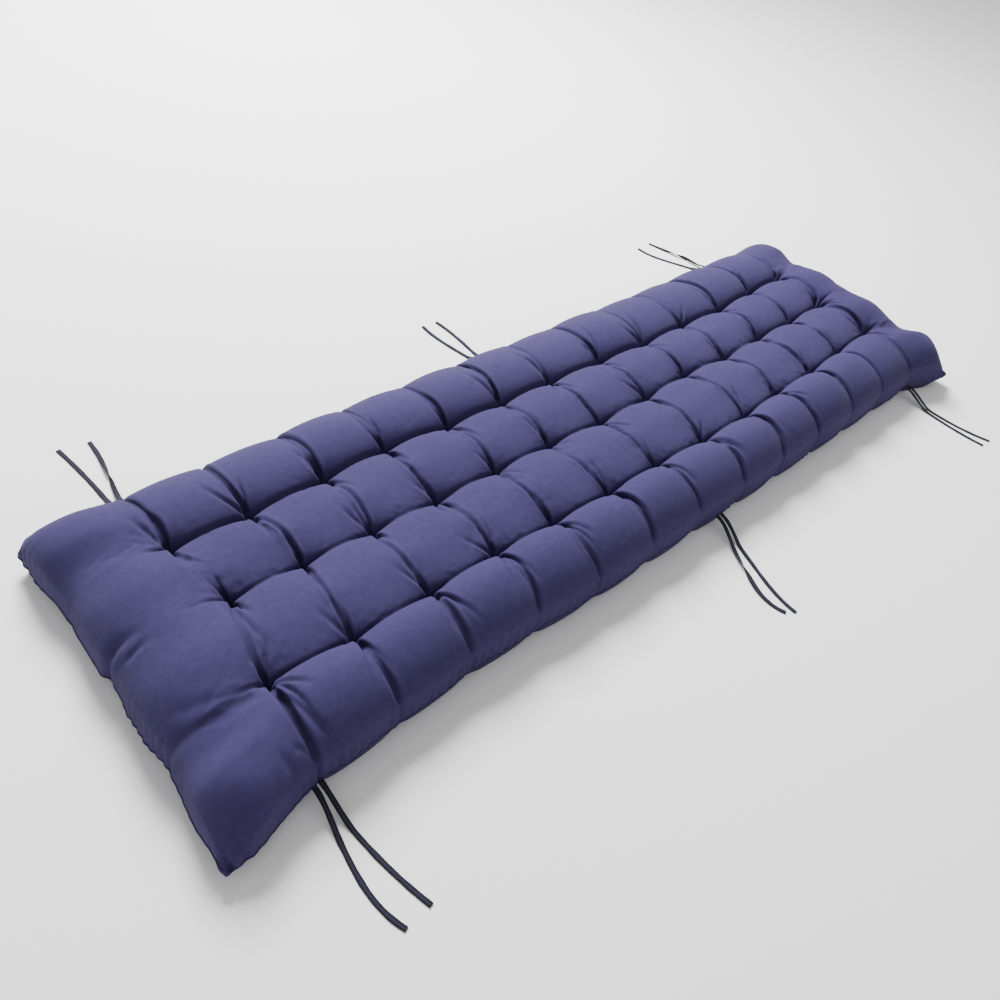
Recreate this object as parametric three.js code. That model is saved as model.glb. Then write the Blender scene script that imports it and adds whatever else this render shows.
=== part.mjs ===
// A tufted sun lounger cushion lying on the ground, with six pairs of ties sewn into its side seams.
// +X runs along the cushion, +Y across it and +Z up. The origin is on the ground, under its middle.
// All sizes are in millimetres.

import * as THREE from 'three';
import { mergeVertices } from 'three/addons/utils/BufferGeometryUtils.js';

// The cover, from corner to corner
const LENGTH = 1550;
const WIDTH = 480;
const NEAR_PULL = 27;        // the filling draws the near seam in by this much between the corners
const FAR_PULL = 5;          // the far seam by this much
const END_PULL = 7;          // and the end seams by this much
const WAIST = { at: -420, reach: 260, pull: 9 }; // the near seam lies further in around this place
const PULL_REACH = 120;      // a seam is fully drawn in at this distance from a corner
const SCALLOP = 3;           // each puff pushes its stretch of seam out by this much

// The tufts: stitches through the whole cushion, in three lines of thirteen
const TUFT_COLUMNS = 13;
const TUFT_ROWS = 3;
const TUFT_PITCH = 108.5;    // along the cushion
const TUFT_SPREAD = 112;     // from one line to the next

// Heights above the ground
const SEAM_HEIGHT = 21;
const SEAM_THICKNESS = 3;
const CROWN = 87;            // the top of a puff
const END_RISE = 16;         // the puffs of the two ends are larger and stand this much higher
const SIDE_RISE = 6;         // those of the long sides stand this much higher
const CORNER_RISE = 4;       // and the four in the corners this much
const NEAR_TAPER = 75;       // the near corners are thin points, and the cover is full this far from them
const FAR_TAPER = 12;        // the far corners are blunt
const TOP_TUFT = 46;         // the cloth under a top stitch
const BOTTOM_TUFT = 27;      // the cloth over the stitch underneath
const ROW_RIDGE = 17;        // how far the cloth rises between two stitches of one line
const CROSS_RIDGE = 31;      // between two stitches of neighbouring lines
const SIDE_RIDGE = 51;       // on the way from a stitch to the nearest long seam
const END_RIDGE = 65;        // and on the way from a stitch to the nearest end seam
const BOTTOM_RIDGE = 15;     // how far it sinks between two stitches underneath
const BOTTOM_SWELL = 40;     // how far a puff would hang below its stitches without the ground
const UNEVENNESS = 3.5;      // no two puffs are filled alike
const BORDER_FULLNESS = 0.64; // under 1, the puffs along the seams are fuller than half ellipses

// Mesh steps in each puff
const STEPS_ALONG = 6;
const STEPS_ACROSS = 7;

// How far each stitch lies from its place in an even grid, along and across, a row for each column.
// "near" is the line at -Y, and "far" the one at +Y.
const TUFT_DRIFT = [
  { far: [6, 0], middle: [25, 10], near: [1, 4] },
  { far: [2, -1], middle: [15, 9], near: [0, -2] },
  { far: [6, 2], middle: [6, 6], near: [5, -1] },
  { far: [0, 7], middle: [1, 3], near: [5, 1] },
  { far: [-1, -2], middle: [-2, 3], near: [-3, -3] },
  { far: [-6, -4], middle: [-6, 1], near: [-2, -6] },
  { far: [-7, -4], middle: [-7, -4], near: [-4, -5] },
  { far: [-3, -8], middle: [-1, -2], near: [-2, -10] },
  { far: [-2, -13], middle: [-4, 5], near: [2, -10] },
  { far: [1, -9], middle: [-5, -2], near: [-5, -2] },
  { far: [3, -13], middle: [-1, 4], near: [1, 0] },
  { far: [2, -4], middle: [-4, 4], near: [-4, 8] },
  { far: [-1, -2], middle: [-8, 9], near: [-1, 15] },
];
const ROW_NAMES = ['near', 'middle', 'far'];

// The ties: narrow folded tapes, two to a place, that lie on the ground beside the cushion
const TIE_WIDTH = 7;
const TIE_THICKNESS = 1.8;
const TIE_GAP = 0.7;         // between the end of a tie and the seam that it is sewn to
const TIE_LIFT = 0.2;        // clearance under a tie that lies on the ground
const TIE_REST = TIE_THICKNESS / 2 + TIE_LIFT; // the height of the middle of one that lies flat
const TIE_DROP = 62;         // a tie reaches the ground at this distance from the seam
const TIE_TURN = [0.35, 0.75]; // a twisted tie turns over between these shares of its length
const TIE_POINTS = 9;        // the points that its route is drawn through
const TIE_STEPS = 14;        // and its mesh steps

// One row for each tape: its side (-1 near, 1 far), where it leaves the seam, how far it reaches
// out, how far its middle and its end swing along the cushion, and its half turns on the way.
const TIES = [
  { name: 'tie_near_head_a', side: -1, from: -660, reach: 167, middle: -11, end: -5, turns: 0 },
  { name: 'tie_near_head_b', side: -1, from: -651, reach: 166, middle: 4, end: 19, turns: 0 },
  { name: 'tie_near_waist_a', side: -1, from: 48, reach: 168, middle: -33, end: -45, turns: 1 },
  { name: 'tie_near_waist_b', side: -1, from: 57, reach: 177, middle: -22, end: -41, turns: 0 },
  { name: 'tie_near_foot_a', side: -1, from: 656, reach: 170, middle: -1, end: 8, turns: 0 },
  { name: 'tie_near_foot_b', side: -1, from: 665, reach: 170, middle: 2, end: 24, turns: 0 },
  { name: 'tie_far_head_a', side: 1, from: -647, reach: 174, middle: -3, end: -13, turns: 0 },
  { name: 'tie_far_head_b', side: 1, from: -638, reach: 168, middle: 10, end: 19, turns: 1 },
  { name: 'tie_far_waist_a', side: 1, from: -6, reach: 164, middle: -12, end: -19, turns: 0 },
  { name: 'tie_far_waist_b', side: 1, from: 3, reach: 163, middle: 4, end: 2, turns: 0 },
  { name: 'tie_far_foot_a', side: 1, from: 647, reach: 168, middle: -36, end: -68, turns: 0 },
  { name: 'tie_far_foot_b', side: 1, from: 656, reach: 172, middle: -12, end: -36, turns: 1 },
];

// The puffs: one more of them each way than stitches
const COLUMN_CELLS = TUFT_COLUMNS + 1;
const ROW_CELLS = TUFT_ROWS + 1;

const clothMaterial = new THREE.MeshStandardMaterial({ color: 0x5b5990, roughness: 0.85, metalness: 0 });
const tapeMaterial = new THREE.MeshStandardMaterial({ color: 0x24262f, roughness: 0.7, metalness: 0 });

// How far a seam of this half length has been drawn in, at this place along it.
function drawnIn(place, halfLength, pull) {
  const fromCorner = halfLength - Math.abs(place);
  return pull * THREE.MathUtils.smoothstep(fromCorner, 0, PULL_REACH);
}

// The distance of a long seam from the middle, at x. side is -1 for the near seam and 1 for the far.
function sideSeam(x, side) {
  const pull = drawnIn(x, LENGTH / 2, side < 0 ? NEAR_PULL : FAR_PULL);
  const fromWaist = Math.min(1, Math.abs(x - WAIST.at) / WAIST.reach);
  const waist = side < 0 ? WAIST.pull * (1 + Math.cos(Math.PI * fromWaist)) / 2 : 0;
  return WIDTH / 2 - pull - waist;
}

// The distance of the end seam from the middle, at y.
function endSeam(y) {
  return LENGTH / 2 - drawnIn(y, WIDTH / 2, END_PULL);
}

// The plan position of a corner of the cells: a stitch, a place on the seam, or a corner of the cover.
function anchor(column, row) {
  const onEnd = column === 0 || column === COLUMN_CELLS;
  const onSide = row === 0 || row === ROW_CELLS;
  const endSign = column === 0 ? -1 : 1;
  const sideSign = row === 0 ? -1 : 1;
  const x = (column - COLUMN_CELLS / 2) * TUFT_PITCH;
  const y = (row - ROW_CELLS / 2) * TUFT_SPREAD;
  if (onEnd && onSide) return [endSign * LENGTH / 2, sideSign * WIDTH / 2];
  if (onEnd) return [endSign * endSeam(y), y];
  if (onSide) return [x, sideSign * sideSeam(x, sideSign)];
  const [along, across] = TUFT_DRIFT[column - 1][ROW_NAMES[row - 1]];
  return [x + along, y + across];
}

// The distance of a long side's outline from the middle at x: its seam, pushed out by a puff.
function sideOutline(x, side) {
  const inCells = x / TUFT_PITCH + COLUMN_CELLS / 2;
  const column = THREE.MathUtils.clamp(Math.floor(inCells), 0, COLUMN_CELLS - 1);
  const [low] = anchor(column, 0);
  const [high] = anchor(column + 1, 0);
  const puffed = sideSeam(x, side) + SCALLOP * Math.sin(Math.PI * (x - low) / (high - low));
  return Math.min(puffed, WIDTH / 2);
}

const mix = (a, b, share) => a + (b - a) * share;
const mixPoints = (a, b, share) => [mix(a[0], b[0], share), mix(a[1], b[1], share)];

// The line from one cell corner to the next one along: straight inside, and on the seam at a side.
function lineAlong(column, row, share) {
  const point = mixPoints(anchor(column, row), anchor(column + 1, row), share);
  if (row !== 0 && row !== ROW_CELLS) return point;
  const side = row === 0 ? -1 : 1;
  return [point[0], side * sideOutline(point[0], side)];
}

// The same across the cushion.
function lineAcross(column, row, share) {
  const point = mixPoints(anchor(column, row), anchor(column, row + 1), share);
  if (column !== 0 && column !== COLUMN_CELLS) return point;
  const sign = column === 0 ? -1 : 1;
  const puffed = endSeam(point[1]) + SCALLOP * Math.sin(Math.PI * share);
  return [sign * Math.min(puffed, LENGTH / 2), point[1]];
}

// The plan position inside a cell, which follows all four of its lines.
function planPosition(column, row, along, across) {
  const sides = [0, 1].map((k) =>
    mix(lineAlong(column, row, along)[k], lineAlong(column, row + 1, along)[k], across)
    + mix(lineAcross(column, row, across)[k], lineAcross(column + 1, row, across)[k], along));
  const low = mixPoints(anchor(column, row), anchor(column + 1, row), along);
  const high = mixPoints(anchor(column, row + 1), anchor(column + 1, row + 1), along);
  const corners = mixPoints(low, high, across);
  return [sides[0] - corners[0], sides[1] - corners[1]];
}

// A repeatable number from -1 to 1 for each puff.
function puffCharacter(column, row) {
  const wave = Math.sin(column * 12.9898 + row * 78.233) * 43758.5453;
  return 2 * (wave - Math.floor(wave)) - 1;
}

// How much higher a puff stands than those in the middle of the cushion.
function borderRise(atEnd, atSide) {
  if (atEnd && atSide) return CORNER_RISE;
  if (atEnd) return END_RISE;
  return atSide ? SIDE_RISE : 0;
}

const isSeam = (column, row) => column === 0 || row === 0 || column === COLUMN_CELLS || row === ROW_CELLS;

// The share of its full puff that the cover has at x, y: less towards its four corner points.
function fullness(x, y) {
  const fromCorner = Math.hypot(LENGTH / 2 - Math.abs(x), WIDTH / 2 - Math.abs(y));
  const lack = Math.max(0, 1 - fromCorner / (y < 0 ? NEAR_TAPER : FAR_TAPER));
  return 1 - lack ** 2;
}

// The height of one face of the cushion in a cell. rise is +1 for the top face and -1 for the bottom,
// and full is the share of its puff that is filled.
function faceHeight(column, row, along, across, rise, full) {
  const onTop = rise > 0;
  const seam = SEAM_HEIGHT + rise * SEAM_THICKNESS / 2;
  const tuft = onTop ? TOP_TUFT : BOTTOM_TUFT;
  const base = (i, j) => (isSeam(i, j) ? seam : tuft);
  const atEnd = column === 0 || column === COLUMN_CELLS - 1;
  const atSide = row === 0 || row === ROW_CELLS - 1;
  const topRowRidge = atEnd ? END_RIDGE : ROW_RIDGE;
  const topCrossRidge = atSide ? SIDE_RIDGE : CROSS_RIDGE;
  const rowRidge = (j) => (j === 0 || j === ROW_CELLS ? 0 : onTop ? topRowRidge : BOTTOM_RIDGE);
  const crossRidge = (i) =>
    (i === 0 || i === COLUMN_CELLS ? 0 : onTop ? topCrossRidge : BOTTOM_RIDGE);
  const low = mix(base(column, row), base(column + 1, row), along.share);
  const high = mix(base(column, row + 1), base(column + 1, row + 1), along.share);
  const ground = mix(low, high, across.share);
  const corners = [[0, 0], [1, 0], [0, 1], [1, 1]].map(([i, j]) => base(column + i, row + j));
  const middle = corners.reduce((sum, value) => sum + value, 0) / corners.length;
  const crown = CROWN + borderRise(atEnd, atSide) + UNEVENNESS * puffCharacter(column, row);
  const swell = onTop ? crown - middle : BOTTOM_SWELL;
  const bulge = along.arch * across.arch * swell
    + along.arch * (1 - across.arch) * mix(rowRidge(row), rowRidge(row + 1), across.share)
    + across.arch * (1 - along.arch) * mix(crossRidge(column), crossRidge(column + 1), along.share);
  return Math.max(0, ground + rise * full * bulge);
}

// Where a running coordinate lies in its cell: the cell, the share of the way, and the arch over it.
// Steps are closer together near the lines of stitches, so that the arch is a half ellipse.
function placeInCell(coordinate, cells) {
  const index = Math.min(Math.floor(coordinate), cells - 1);
  const turn = Math.PI * (coordinate - index);
  const fullness = index === 0 || index === cells - 1 ? BORDER_FULLNESS : 1;
  return { index, share: (1 - Math.cos(turn)) / 2, arch: Math.sin(turn) ** fullness };
}

// Moves every point of a geometry, then closes it up and gives it new normals.
function reshape(geometry, move) {
  const positions = geometry.attributes.position;
  const point = new THREE.Vector3();
  for (let k = 0; k < positions.count; k++) {
    point.fromBufferAttribute(positions, k);
    positions.setXYZ(k, ...move(point));
  }
  geometry.deleteAttribute('uv');
  geometry.deleteAttribute('normal');
  const closed = mergeVertices(geometry, 1e-3);
  closed.computeVertexNormals();
  return closed;
}

// The cushion is a slab of one cell per puff, whose two faces are moved to the puffed cloth.
function makeCushion() {
  const slab = new THREE.BoxGeometry(
    COLUMN_CELLS, ROW_CELLS, 2,
    COLUMN_CELLS * STEPS_ALONG, ROW_CELLS * STEPS_ACROSS, 1);
  return reshape(slab, (point) => {
    const along = placeInCell(point.x + COLUMN_CELLS / 2, COLUMN_CELLS);
    const across = placeInCell(point.y + ROW_CELLS / 2, ROW_CELLS);
    const [x, y] = planPosition(along.index, across.index, along.share, across.share);
    const rise = Math.sign(point.z);
    return [x, y, faceHeight(along.index, across.index, along, across, rise, fullness(x, y))];
  });
}

// The line that the middle of a tie follows, straight out of its seam and to its free end on the
// ground. Its swing is a cubic that passes through the middle and the end that the table gives.
function tieRoute(tie) {
  const edges = [-TIE_WIDTH / 2, TIE_WIDTH / 2].map((edge) => sideOutline(tie.from + edge, tie.side));
  const start = Math.max(...edges) + TIE_GAP;
  const points = [];
  for (let k = 0; k <= TIE_POINTS; k++) {
    const share = k / TIE_POINTS;
    const swing = share ** 2 * (8 * tie.middle * (1 - share) + tie.end * (2 * share - 1));
    const out = tie.reach * share;
    const fall = THREE.MathUtils.smoothstep(out, 0, TIE_DROP);
    const lift = Math.abs(tie.turns) * (TIE_WIDTH / 2) * Math.sin(Math.PI * share) ** 2;
    const height = mix(SEAM_HEIGHT, TIE_REST, fall) + lift * fall;
    points.push(new THREE.Vector3(tie.from + swing, tie.side * (start + out), height));
  }
  return new THREE.CatmullRomCurve3(points);
}

// The outline of a folded tape seen end on: flat, with rounded edges.
function tapeSection() {
  const radius = TIE_THICKNESS / 2;
  const flat = TIE_WIDTH / 2 - radius;
  const section = new THREE.Shape();
  section.absarc(flat, 0, radius, -Math.PI / 2, Math.PI / 2, false);
  section.absarc(-flat, 0, radius, Math.PI / 2, 3 * Math.PI / 2, false);
  return section;
}

// A straight tape is extruded along Z and then bent to its route, turning over where it does.
function makeTie(tie) {
  const straight = new THREE.ExtrudeGeometry(tapeSection(), {
    depth: 1, steps: TIE_STEPS, curveSegments: 2, bevelEnabled: false });
  const route = tieRoute(tie);
  const up = new THREE.Vector3(0, 0, 1);
  return reshape(straight, (point) => {
    const share = THREE.MathUtils.clamp(point.z, 0, 1);
    const centre = route.getPointAt(share);
    centre.z = Math.max(centre.z, TIE_REST);
    const forward = route.getTangentAt(share);
    const twist = Math.PI * tie.turns * THREE.MathUtils.smoothstep(share, ...TIE_TURN);
    const across = new THREE.Vector3().crossVectors(up, forward).normalize();
    const normal = new THREE.Vector3().crossVectors(forward, across).normalize();
    centre.addScaledVector(across, point.x * Math.cos(twist) - point.y * Math.sin(twist));
    centre.addScaledVector(normal, point.x * Math.sin(twist) + point.y * Math.cos(twist));
    return centre.toArray();
  });
}

function addMesh(group, name, geometry, material) {
  const mesh = new THREE.Mesh(geometry, material);
  mesh.name = name;
  group.add(mesh);
}

const lounger = new THREE.Group();
addMesh(lounger, 'cushion', makeCushion(), clothMaterial);
for (const tie of TIES) addMesh(lounger, tie.name, makeTie(tie), tapeMaterial);

export default lounger;
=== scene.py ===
# %% [markdown]
# A long tufted cushion for a sun lounger, dressed in Blender.
# The real one is a flat bag of brushed cotton, stuffed, and tied through at 39 tufts.
# Twelve flat tapes hang from its long seams and lie on the ground.
# The CAD model gives every size. This file adds the soft cloth, the sewing and the finish.

import math

import bpy
import numpy as np
from mathutils import Matrix, Vector


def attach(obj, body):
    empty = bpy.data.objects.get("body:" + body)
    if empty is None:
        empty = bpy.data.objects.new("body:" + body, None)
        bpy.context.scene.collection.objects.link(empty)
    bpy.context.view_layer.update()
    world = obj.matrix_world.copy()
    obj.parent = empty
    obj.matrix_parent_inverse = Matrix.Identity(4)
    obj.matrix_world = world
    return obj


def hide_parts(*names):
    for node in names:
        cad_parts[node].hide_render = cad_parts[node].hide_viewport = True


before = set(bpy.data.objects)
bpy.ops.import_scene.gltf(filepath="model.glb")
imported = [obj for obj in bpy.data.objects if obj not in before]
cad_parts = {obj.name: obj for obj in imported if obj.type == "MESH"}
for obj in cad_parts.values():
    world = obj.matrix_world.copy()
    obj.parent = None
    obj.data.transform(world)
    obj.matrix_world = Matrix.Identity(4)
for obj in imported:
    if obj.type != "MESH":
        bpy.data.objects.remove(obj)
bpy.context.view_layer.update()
scene = bpy.context.scene
MM = 0.001

# %% [markdown]
# The camera stands near the left end, above the near long side, and looks along the cushion.
# Its place and turn were fitted to the tufts and corners of the photograph.
# A camera is described by three directions: to its right, down its picture, and ahead.

# %% Camera
CAMERA_PLACE = Vector((-0.902, -0.5539, 0.8899))
CAMERA_RIGHT = Vector((0.732189, -0.659751, 0.1692))
CAMERA_DOWN = Vector((-0.389725, -0.609558, -0.690329))
CAMERA_AHEAD = Vector((0.558582, 0.439509, -0.703433))
SENSOR, FOCAL_SHARE = 36, 0.85968
camera = bpy.data.objects.new("camera", bpy.data.cameras.new("camera"))
camera.data.sensor_width = SENSOR
camera.data.lens = FOCAL_SHARE * SENSOR
turn = Matrix((CAMERA_RIGHT, -CAMERA_DOWN, -CAMERA_AHEAD)).transposed()
camera.matrix_world = Matrix.Translation(CAMERA_PLACE) @ turn.to_4x4()
scene.collection.objects.link(camera)
scene.camera = camera
print("camera lens", round(camera.data.lens, 2), "mm")

# %% [markdown]
# The outline comes before the ties, because each tie starts at the seam.
# Between its corners the stuffing draws the seam in, most of all on the near side.
# The same few numbers as in the CAD model give the same line here.

# %% Outline of the cushion
LENGTH, WIDTH = 1550, 480
NEAR_PULL, FAR_PULL, END_PULL, PULL_REACH = 27, 5, 7, 120
WAIST_AT, WAIST_REACH, WAIST_PULL = -420, 260, 9
COLUMNS, ROWS = 14, 4
TUFT_PITCH, TUFT_SPREAD = 108.5, 112
SCALLOP = 3
SEAM_HEIGHT = 21


def ease(share):
    """A soft step from 0 to 1."""
    share = np.clip(share, 0, 1)
    return share * share * (3 - 2 * share)


def mix(a, b, share):
    """The value at that share of the way from a to b."""
    return a + (b - a) * share


def side_seam(x, side):
    """How far the long seam lies from the middle line at x, in millimetres."""
    pull = NEAR_PULL if side < 0 else FAR_PULL
    drawn = pull * ease((LENGTH / 2 - np.abs(x)) / PULL_REACH)
    waist = WAIST_PULL * (1 + np.cos(np.pi * np.clip(np.abs(x - WAIST_AT) / WAIST_REACH, 0, 1))) / 2
    return WIDTH / 2 - drawn - (waist if side < 0 else 0)


def end_seam(y):
    """How far the short seam lies from the middle at y, in millimetres."""
    return LENGTH / 2 - END_PULL * ease((WIDTH / 2 - np.abs(y)) / PULL_REACH)


def cell_edge(number):
    """Where the line between two columns of cells meets a long seam, in millimetres along it."""
    place = (number - COLUMNS / 2) * TUFT_PITCH
    return math.copysign(LENGTH / 2, place) if number in (0, COLUMNS) else place


def side_outline(x, side):
    """The long seam with the small swell of each puff on it."""
    in_cells = x / TUFT_PITCH + COLUMNS / 2
    column = int(np.clip(math.floor(in_cells), 0, COLUMNS - 1))
    low, high = cell_edge(column), cell_edge(column + 1)
    swell = SCALLOP * math.sin(math.pi * (x - low) / (high - low))
    return min(side_seam(x, side) + swell, WIDTH / 2)


print("near seam at the waist:", round(side_outline(WAIST_AT, -1), 1), "mm from the middle line")

# %% [markdown]
# A tie is a strip of the cloth, folded and pressed into a narrow flat tape, and cut square.
# It leaves the seam, falls to the ground within a hand's breadth, and lies there in a slack bow.
# It could be a cloth simulation, but a tape this narrow keeps its curve better when it is drawn.
# So each tie is one row of a table, and one function turns a row into the line it follows.

# %% Routes of the ties
TIE_WIDTH, TIE_THICKNESS, TIE_GAP, TIE_LIFT = 7, 1.8, 0.7, 0.2
TIE_REST = TIE_THICKNESS / 2 + TIE_LIFT
TIE_DROP = 62
TIE_STATIONS = 28
TIE_COLUMNS = ("side", "start", "reach", "middle", "end", "turns")
TIE_ROWS = {
    "tie_near_head_a": (-1, -660, 167, -11, -5, 0),
    "tie_near_head_b": (-1, -651, 166, 4, 19, 0),
    "tie_near_waist_a": (-1, 48, 168, -33, -45, 1),
    "tie_near_waist_b": (-1, 57, 177, -22, -41, 0),
    "tie_near_foot_a": (-1, 656, 170, -1, 8, 0),
    "tie_near_foot_b": (-1, 665, 170, 2, 24, 0),
    "tie_far_head_a": (1, -647, 174, -3, -13, 0),
    "tie_far_head_b": (1, -638, 168, 10, 19, 1),
    "tie_far_waist_a": (1, -6, 164, -12, -19, 0),
    "tie_far_waist_b": (1, 3, 163, 4, 2, 0),
    "tie_far_foot_a": (1, 647, 168, -36, -68, 0),
    "tie_far_foot_b": (1, 656, 172, -12, -36, 1),
}
TIES = {name: dict(zip(TIE_COLUMNS, row)) for name, row in TIE_ROWS.items()}


def tie_route(tie):
    """The middle line of a tie in metres, as rows of x, y, z, from the seam to its cut end."""
    edges = [side_outline(tie["start"] + edge, tie["side"]) for edge in (-TIE_WIDTH / 2, TIE_WIDTH / 2)]
    root = max(edges) + TIE_GAP
    share = np.linspace(0, 1, TIE_STATIONS)
    swing = share**2 * (8 * tie["middle"] * (1 - share) + tie["end"] * (2 * share - 1))
    out = tie["reach"] * share
    fall = ease(out / TIE_DROP)
    lift = abs(tie["turns"]) * TIE_WIDTH / 2 * np.sin(np.pi * share) ** 2
    height = np.maximum(mix(SEAM_HEIGHT, TIE_REST, fall) + lift * fall, TIE_REST)
    return np.column_stack([tie["start"] + swing, tie["side"] * (root + out), height]) * MM


def run_length(points):
    """How long the line through the points is."""
    return float(np.linalg.norm(np.diff(points, axis=0), axis=1).sum())


routes = {name: tie_route(tie) for name, tie in TIES.items()}
for name, points in routes.items():
    print(name, "is", round(run_length(points) * 1000), "mm long")

# %% [markdown]
# The tape itself is a flat section with rounded folded edges and a shallow groove along its middle.
# The section is carried along the line, and turns over where the real tape is twisted.
# Small waves in its width and thickness keep it from looking like moulded plastic.
# Its UV map runs across and along the tape, so that the material can follow its folded edges.

# %% Tape meshes
TAPE_RINGS = 84
TAPE_SECTION = 16
TWIST_FROM, TWIST_TO = 0.35, 0.75
ROOT_TUCK = 2.2
SQUARE_WIDTH, SQUARE_DEPTH = 0.75, 0.6
GROOVE_DEPTH, GROOVE_WIDTH = 0.42, 0.35


def mesh_object(name, points, faces, uv=None):
    """A mesh object at the origin, smooth, with an optional UV map given for each vertex."""
    mesh = bpy.data.meshes.new(name)
    mesh.from_pydata([tuple(p) for p in points.tolist()], [], faces)
    mesh.polygons.foreach_set("use_smooth", [True] * len(mesh.polygons))
    if uv is not None:
        corners = np.empty(len(mesh.loops), np.int32)
        mesh.loops.foreach_get("vertex_index", corners)
        mesh.uv_layers.new(name="cloth").data.foreach_set("uv", uv[corners].astype(np.float32).ravel())
    made = bpy.data.objects.new(name, mesh)
    scene.collection.objects.link(made)
    return made


def tape(name, points, turns, seed):
    """A folded tape along the points."""
    noise = np.random.default_rng(seed)
    along = np.linspace(0, 1, TAPE_RINGS)
    stations = np.linspace(0, 1, len(points))
    line = np.column_stack([np.interp(along, stations, points[:, k]) for k in range(3)])
    for _ in range(3):
        line[1:-1] = (line[:-2] + 2 * line[1:-1] + line[2:]) / 4
    ahead = np.gradient(line, axis=0)
    ahead /= np.linalg.norm(ahead, axis=1)[:, None]
    across = np.cross(ahead, (0, 0, 1))
    across /= np.linalg.norm(across, axis=1)[:, None]
    up = np.cross(across, ahead)
    twist = np.pi * turns * ease((along - TWIST_FROM) / (TWIST_TO - TWIST_FROM))
    phase = noise.uniform(0, 6.28, 3)
    ripple = 0.93 + 0.04 * np.sin(21 * along + phase[0]) + 0.03 * np.sin(47 * along + phase[1])
    wide = TIE_WIDTH / 2 * MM * ripple
    thick = TIE_THICKNESS / 2 * MM * (0.82 + 0.10 * np.sin(33 * along + phase[2]))
    turn_round = 2 * np.pi * np.arange(TAPE_SECTION) / TAPE_SECTION
    flat = np.sign(np.cos(turn_round)) * np.abs(np.cos(turn_round)) ** SQUARE_WIDTH
    groove = 1 - GROOVE_DEPTH * np.exp(-((flat / GROOVE_WIDTH) ** 2))
    deep = np.sign(np.sin(turn_round)) * np.abs(np.sin(turn_round)) ** SQUARE_DEPTH * groove
    side = across * np.cos(twist)[:, None] + up * np.sin(twist)[:, None]
    face = up * np.cos(twist)[:, None] - across * np.sin(twist)[:, None]
    rings = (line[:, None] + side[:, None] * (wide[:, None] * flat)[..., None]
             + face[:, None] * (thick[:, None] * deep)[..., None])
    count = TAPE_SECTION
    faces = [(r * count + (k + 1) % count, r * count + k,
              (r + 1) * count + k, (r + 1) * count + (k + 1) % count)
             for r in range(TAPE_RINGS - 1) for k in range(count)]
    faces.append(tuple(range(count)))
    faces.append(tuple(reversed(range((TAPE_RINGS - 1) * count, TAPE_RINGS * count))))
    run = run_length(line) * along
    uv = np.column_stack([np.tile(flat, TAPE_RINGS) * TIE_WIDTH / 2 * MM, np.repeat(run, count)])
    return mesh_object(name, rings.reshape(-1, 3), faces, uv)


ties = []
for number, (name, points) in enumerate(routes.items()):
    inward = np.array([0, -TIES[name]["side"] * ROOT_TUCK * MM, 0])
    tucked = np.vstack([points[0] + inward, points])
    piece = tape(name + "_tape", tucked, TIES[name]["turns"], 11 + number)
    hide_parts(name)
    ties.append(piece)
print(len(ties), "ties of", len(ties[0].data.polygons), "faces each")

# %% [markdown]
# The cushion is planned in cells: 14 along and 4 across, with a tuft wherever four cells meet.
# The tufts were tied by hand, so each one sits a few millimetres off its even place.
# Every cell is then a curved patch between its four corners, which is called a Coons patch.
# The steps inside a cell are closer together near its edges, where the cloth bends most.

# %% Plan of the cells
CELL_STEPS, CROWDING = 24, 0.30
# How far each tuft of a line lies from its even place, in millimetres, from the head to the foot.
TUFT_DRIFT = {
    "far": dict(along=(6, 2, 6, 0, -1, -6, -7, -3, -2, 1, 3, 2, -1),
                across=(0, -1, 2, 7, -2, -4, -4, -8, -13, -9, -13, -4, -2)),
    "middle": dict(along=(25, 15, 6, 1, -2, -6, -7, -1, -4, -5, -1, -4, -8),
                   across=(10, 9, 6, 3, 3, 1, -4, -2, 5, -2, 4, 4, 9)),
    "near": dict(along=(1, 0, 5, 5, -3, -2, -4, -2, 2, -5, 1, -4, -1),
                 across=(4, -2, -1, 1, -3, -6, -5, -10, -10, -2, 0, 8, 15)),
}
TUFT_LINES = ("near", "middle", "far")


def anchor_points():
    """The corners of all cells: tufts inside, and points on the seam round them."""
    corners = np.zeros((COLUMNS + 1, ROWS + 1, 2))
    for column in range(COLUMNS + 1):
        for row in range(ROWS + 1):
            x = (column - COLUMNS / 2) * TUFT_PITCH
            y = (row - ROWS / 2) * TUFT_SPREAD
            end = {0: -1, COLUMNS: 1}.get(column, 0)
            side = {0: -1, ROWS: 1}.get(row, 0)
            if end and side:
                x, y = end * LENGTH / 2, side * WIDTH / 2
            elif end:
                x = end * end_seam(y)
            elif side:
                y = side * side_seam(x, side)
            else:
                drift = TUFT_DRIFT[TUFT_LINES[row - 1]]
                x += drift["along"][column - 1]
                y += drift["across"][column - 1]
            corners[column, row] = x, y
    return corners


ANCHORS = anchor_points()


def cell_grid(steps):
    """For every grid point: its column and row, and how far through that cell it lies."""
    share = np.arange(steps) / steps
    share = share - CROWDING * np.sin(2 * np.pi * share) / (2 * np.pi)
    lines = []
    for cells in (COLUMNS, ROWS):
        number = np.append(np.repeat(np.arange(cells), steps), cells - 1)
        lines.append((number, np.append(np.tile(share, cells), 1.0)))
    column, row = np.meshgrid(lines[0][0], lines[1][0], indexing="ij")
    u, v = np.meshgrid(lines[0][1], lines[1][1], indexing="ij")
    return column, row, u, v


def line_along(column, row, u):
    """The lower or upper edge of a cell, straight inside the cushion and swelled on its seam."""
    point = mix(ANCHORS[column, row], ANCHORS[column + 1, row], u[..., None])
    for side, edge in ((-1, 0), (1, ROWS)):
        swelled = np.minimum(side_seam(point[..., 0], side) + SCALLOP * np.sin(np.pi * u), WIDTH / 2)
        point[..., 1] = np.where(row == edge, side * swelled, point[..., 1])
    return point


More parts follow.
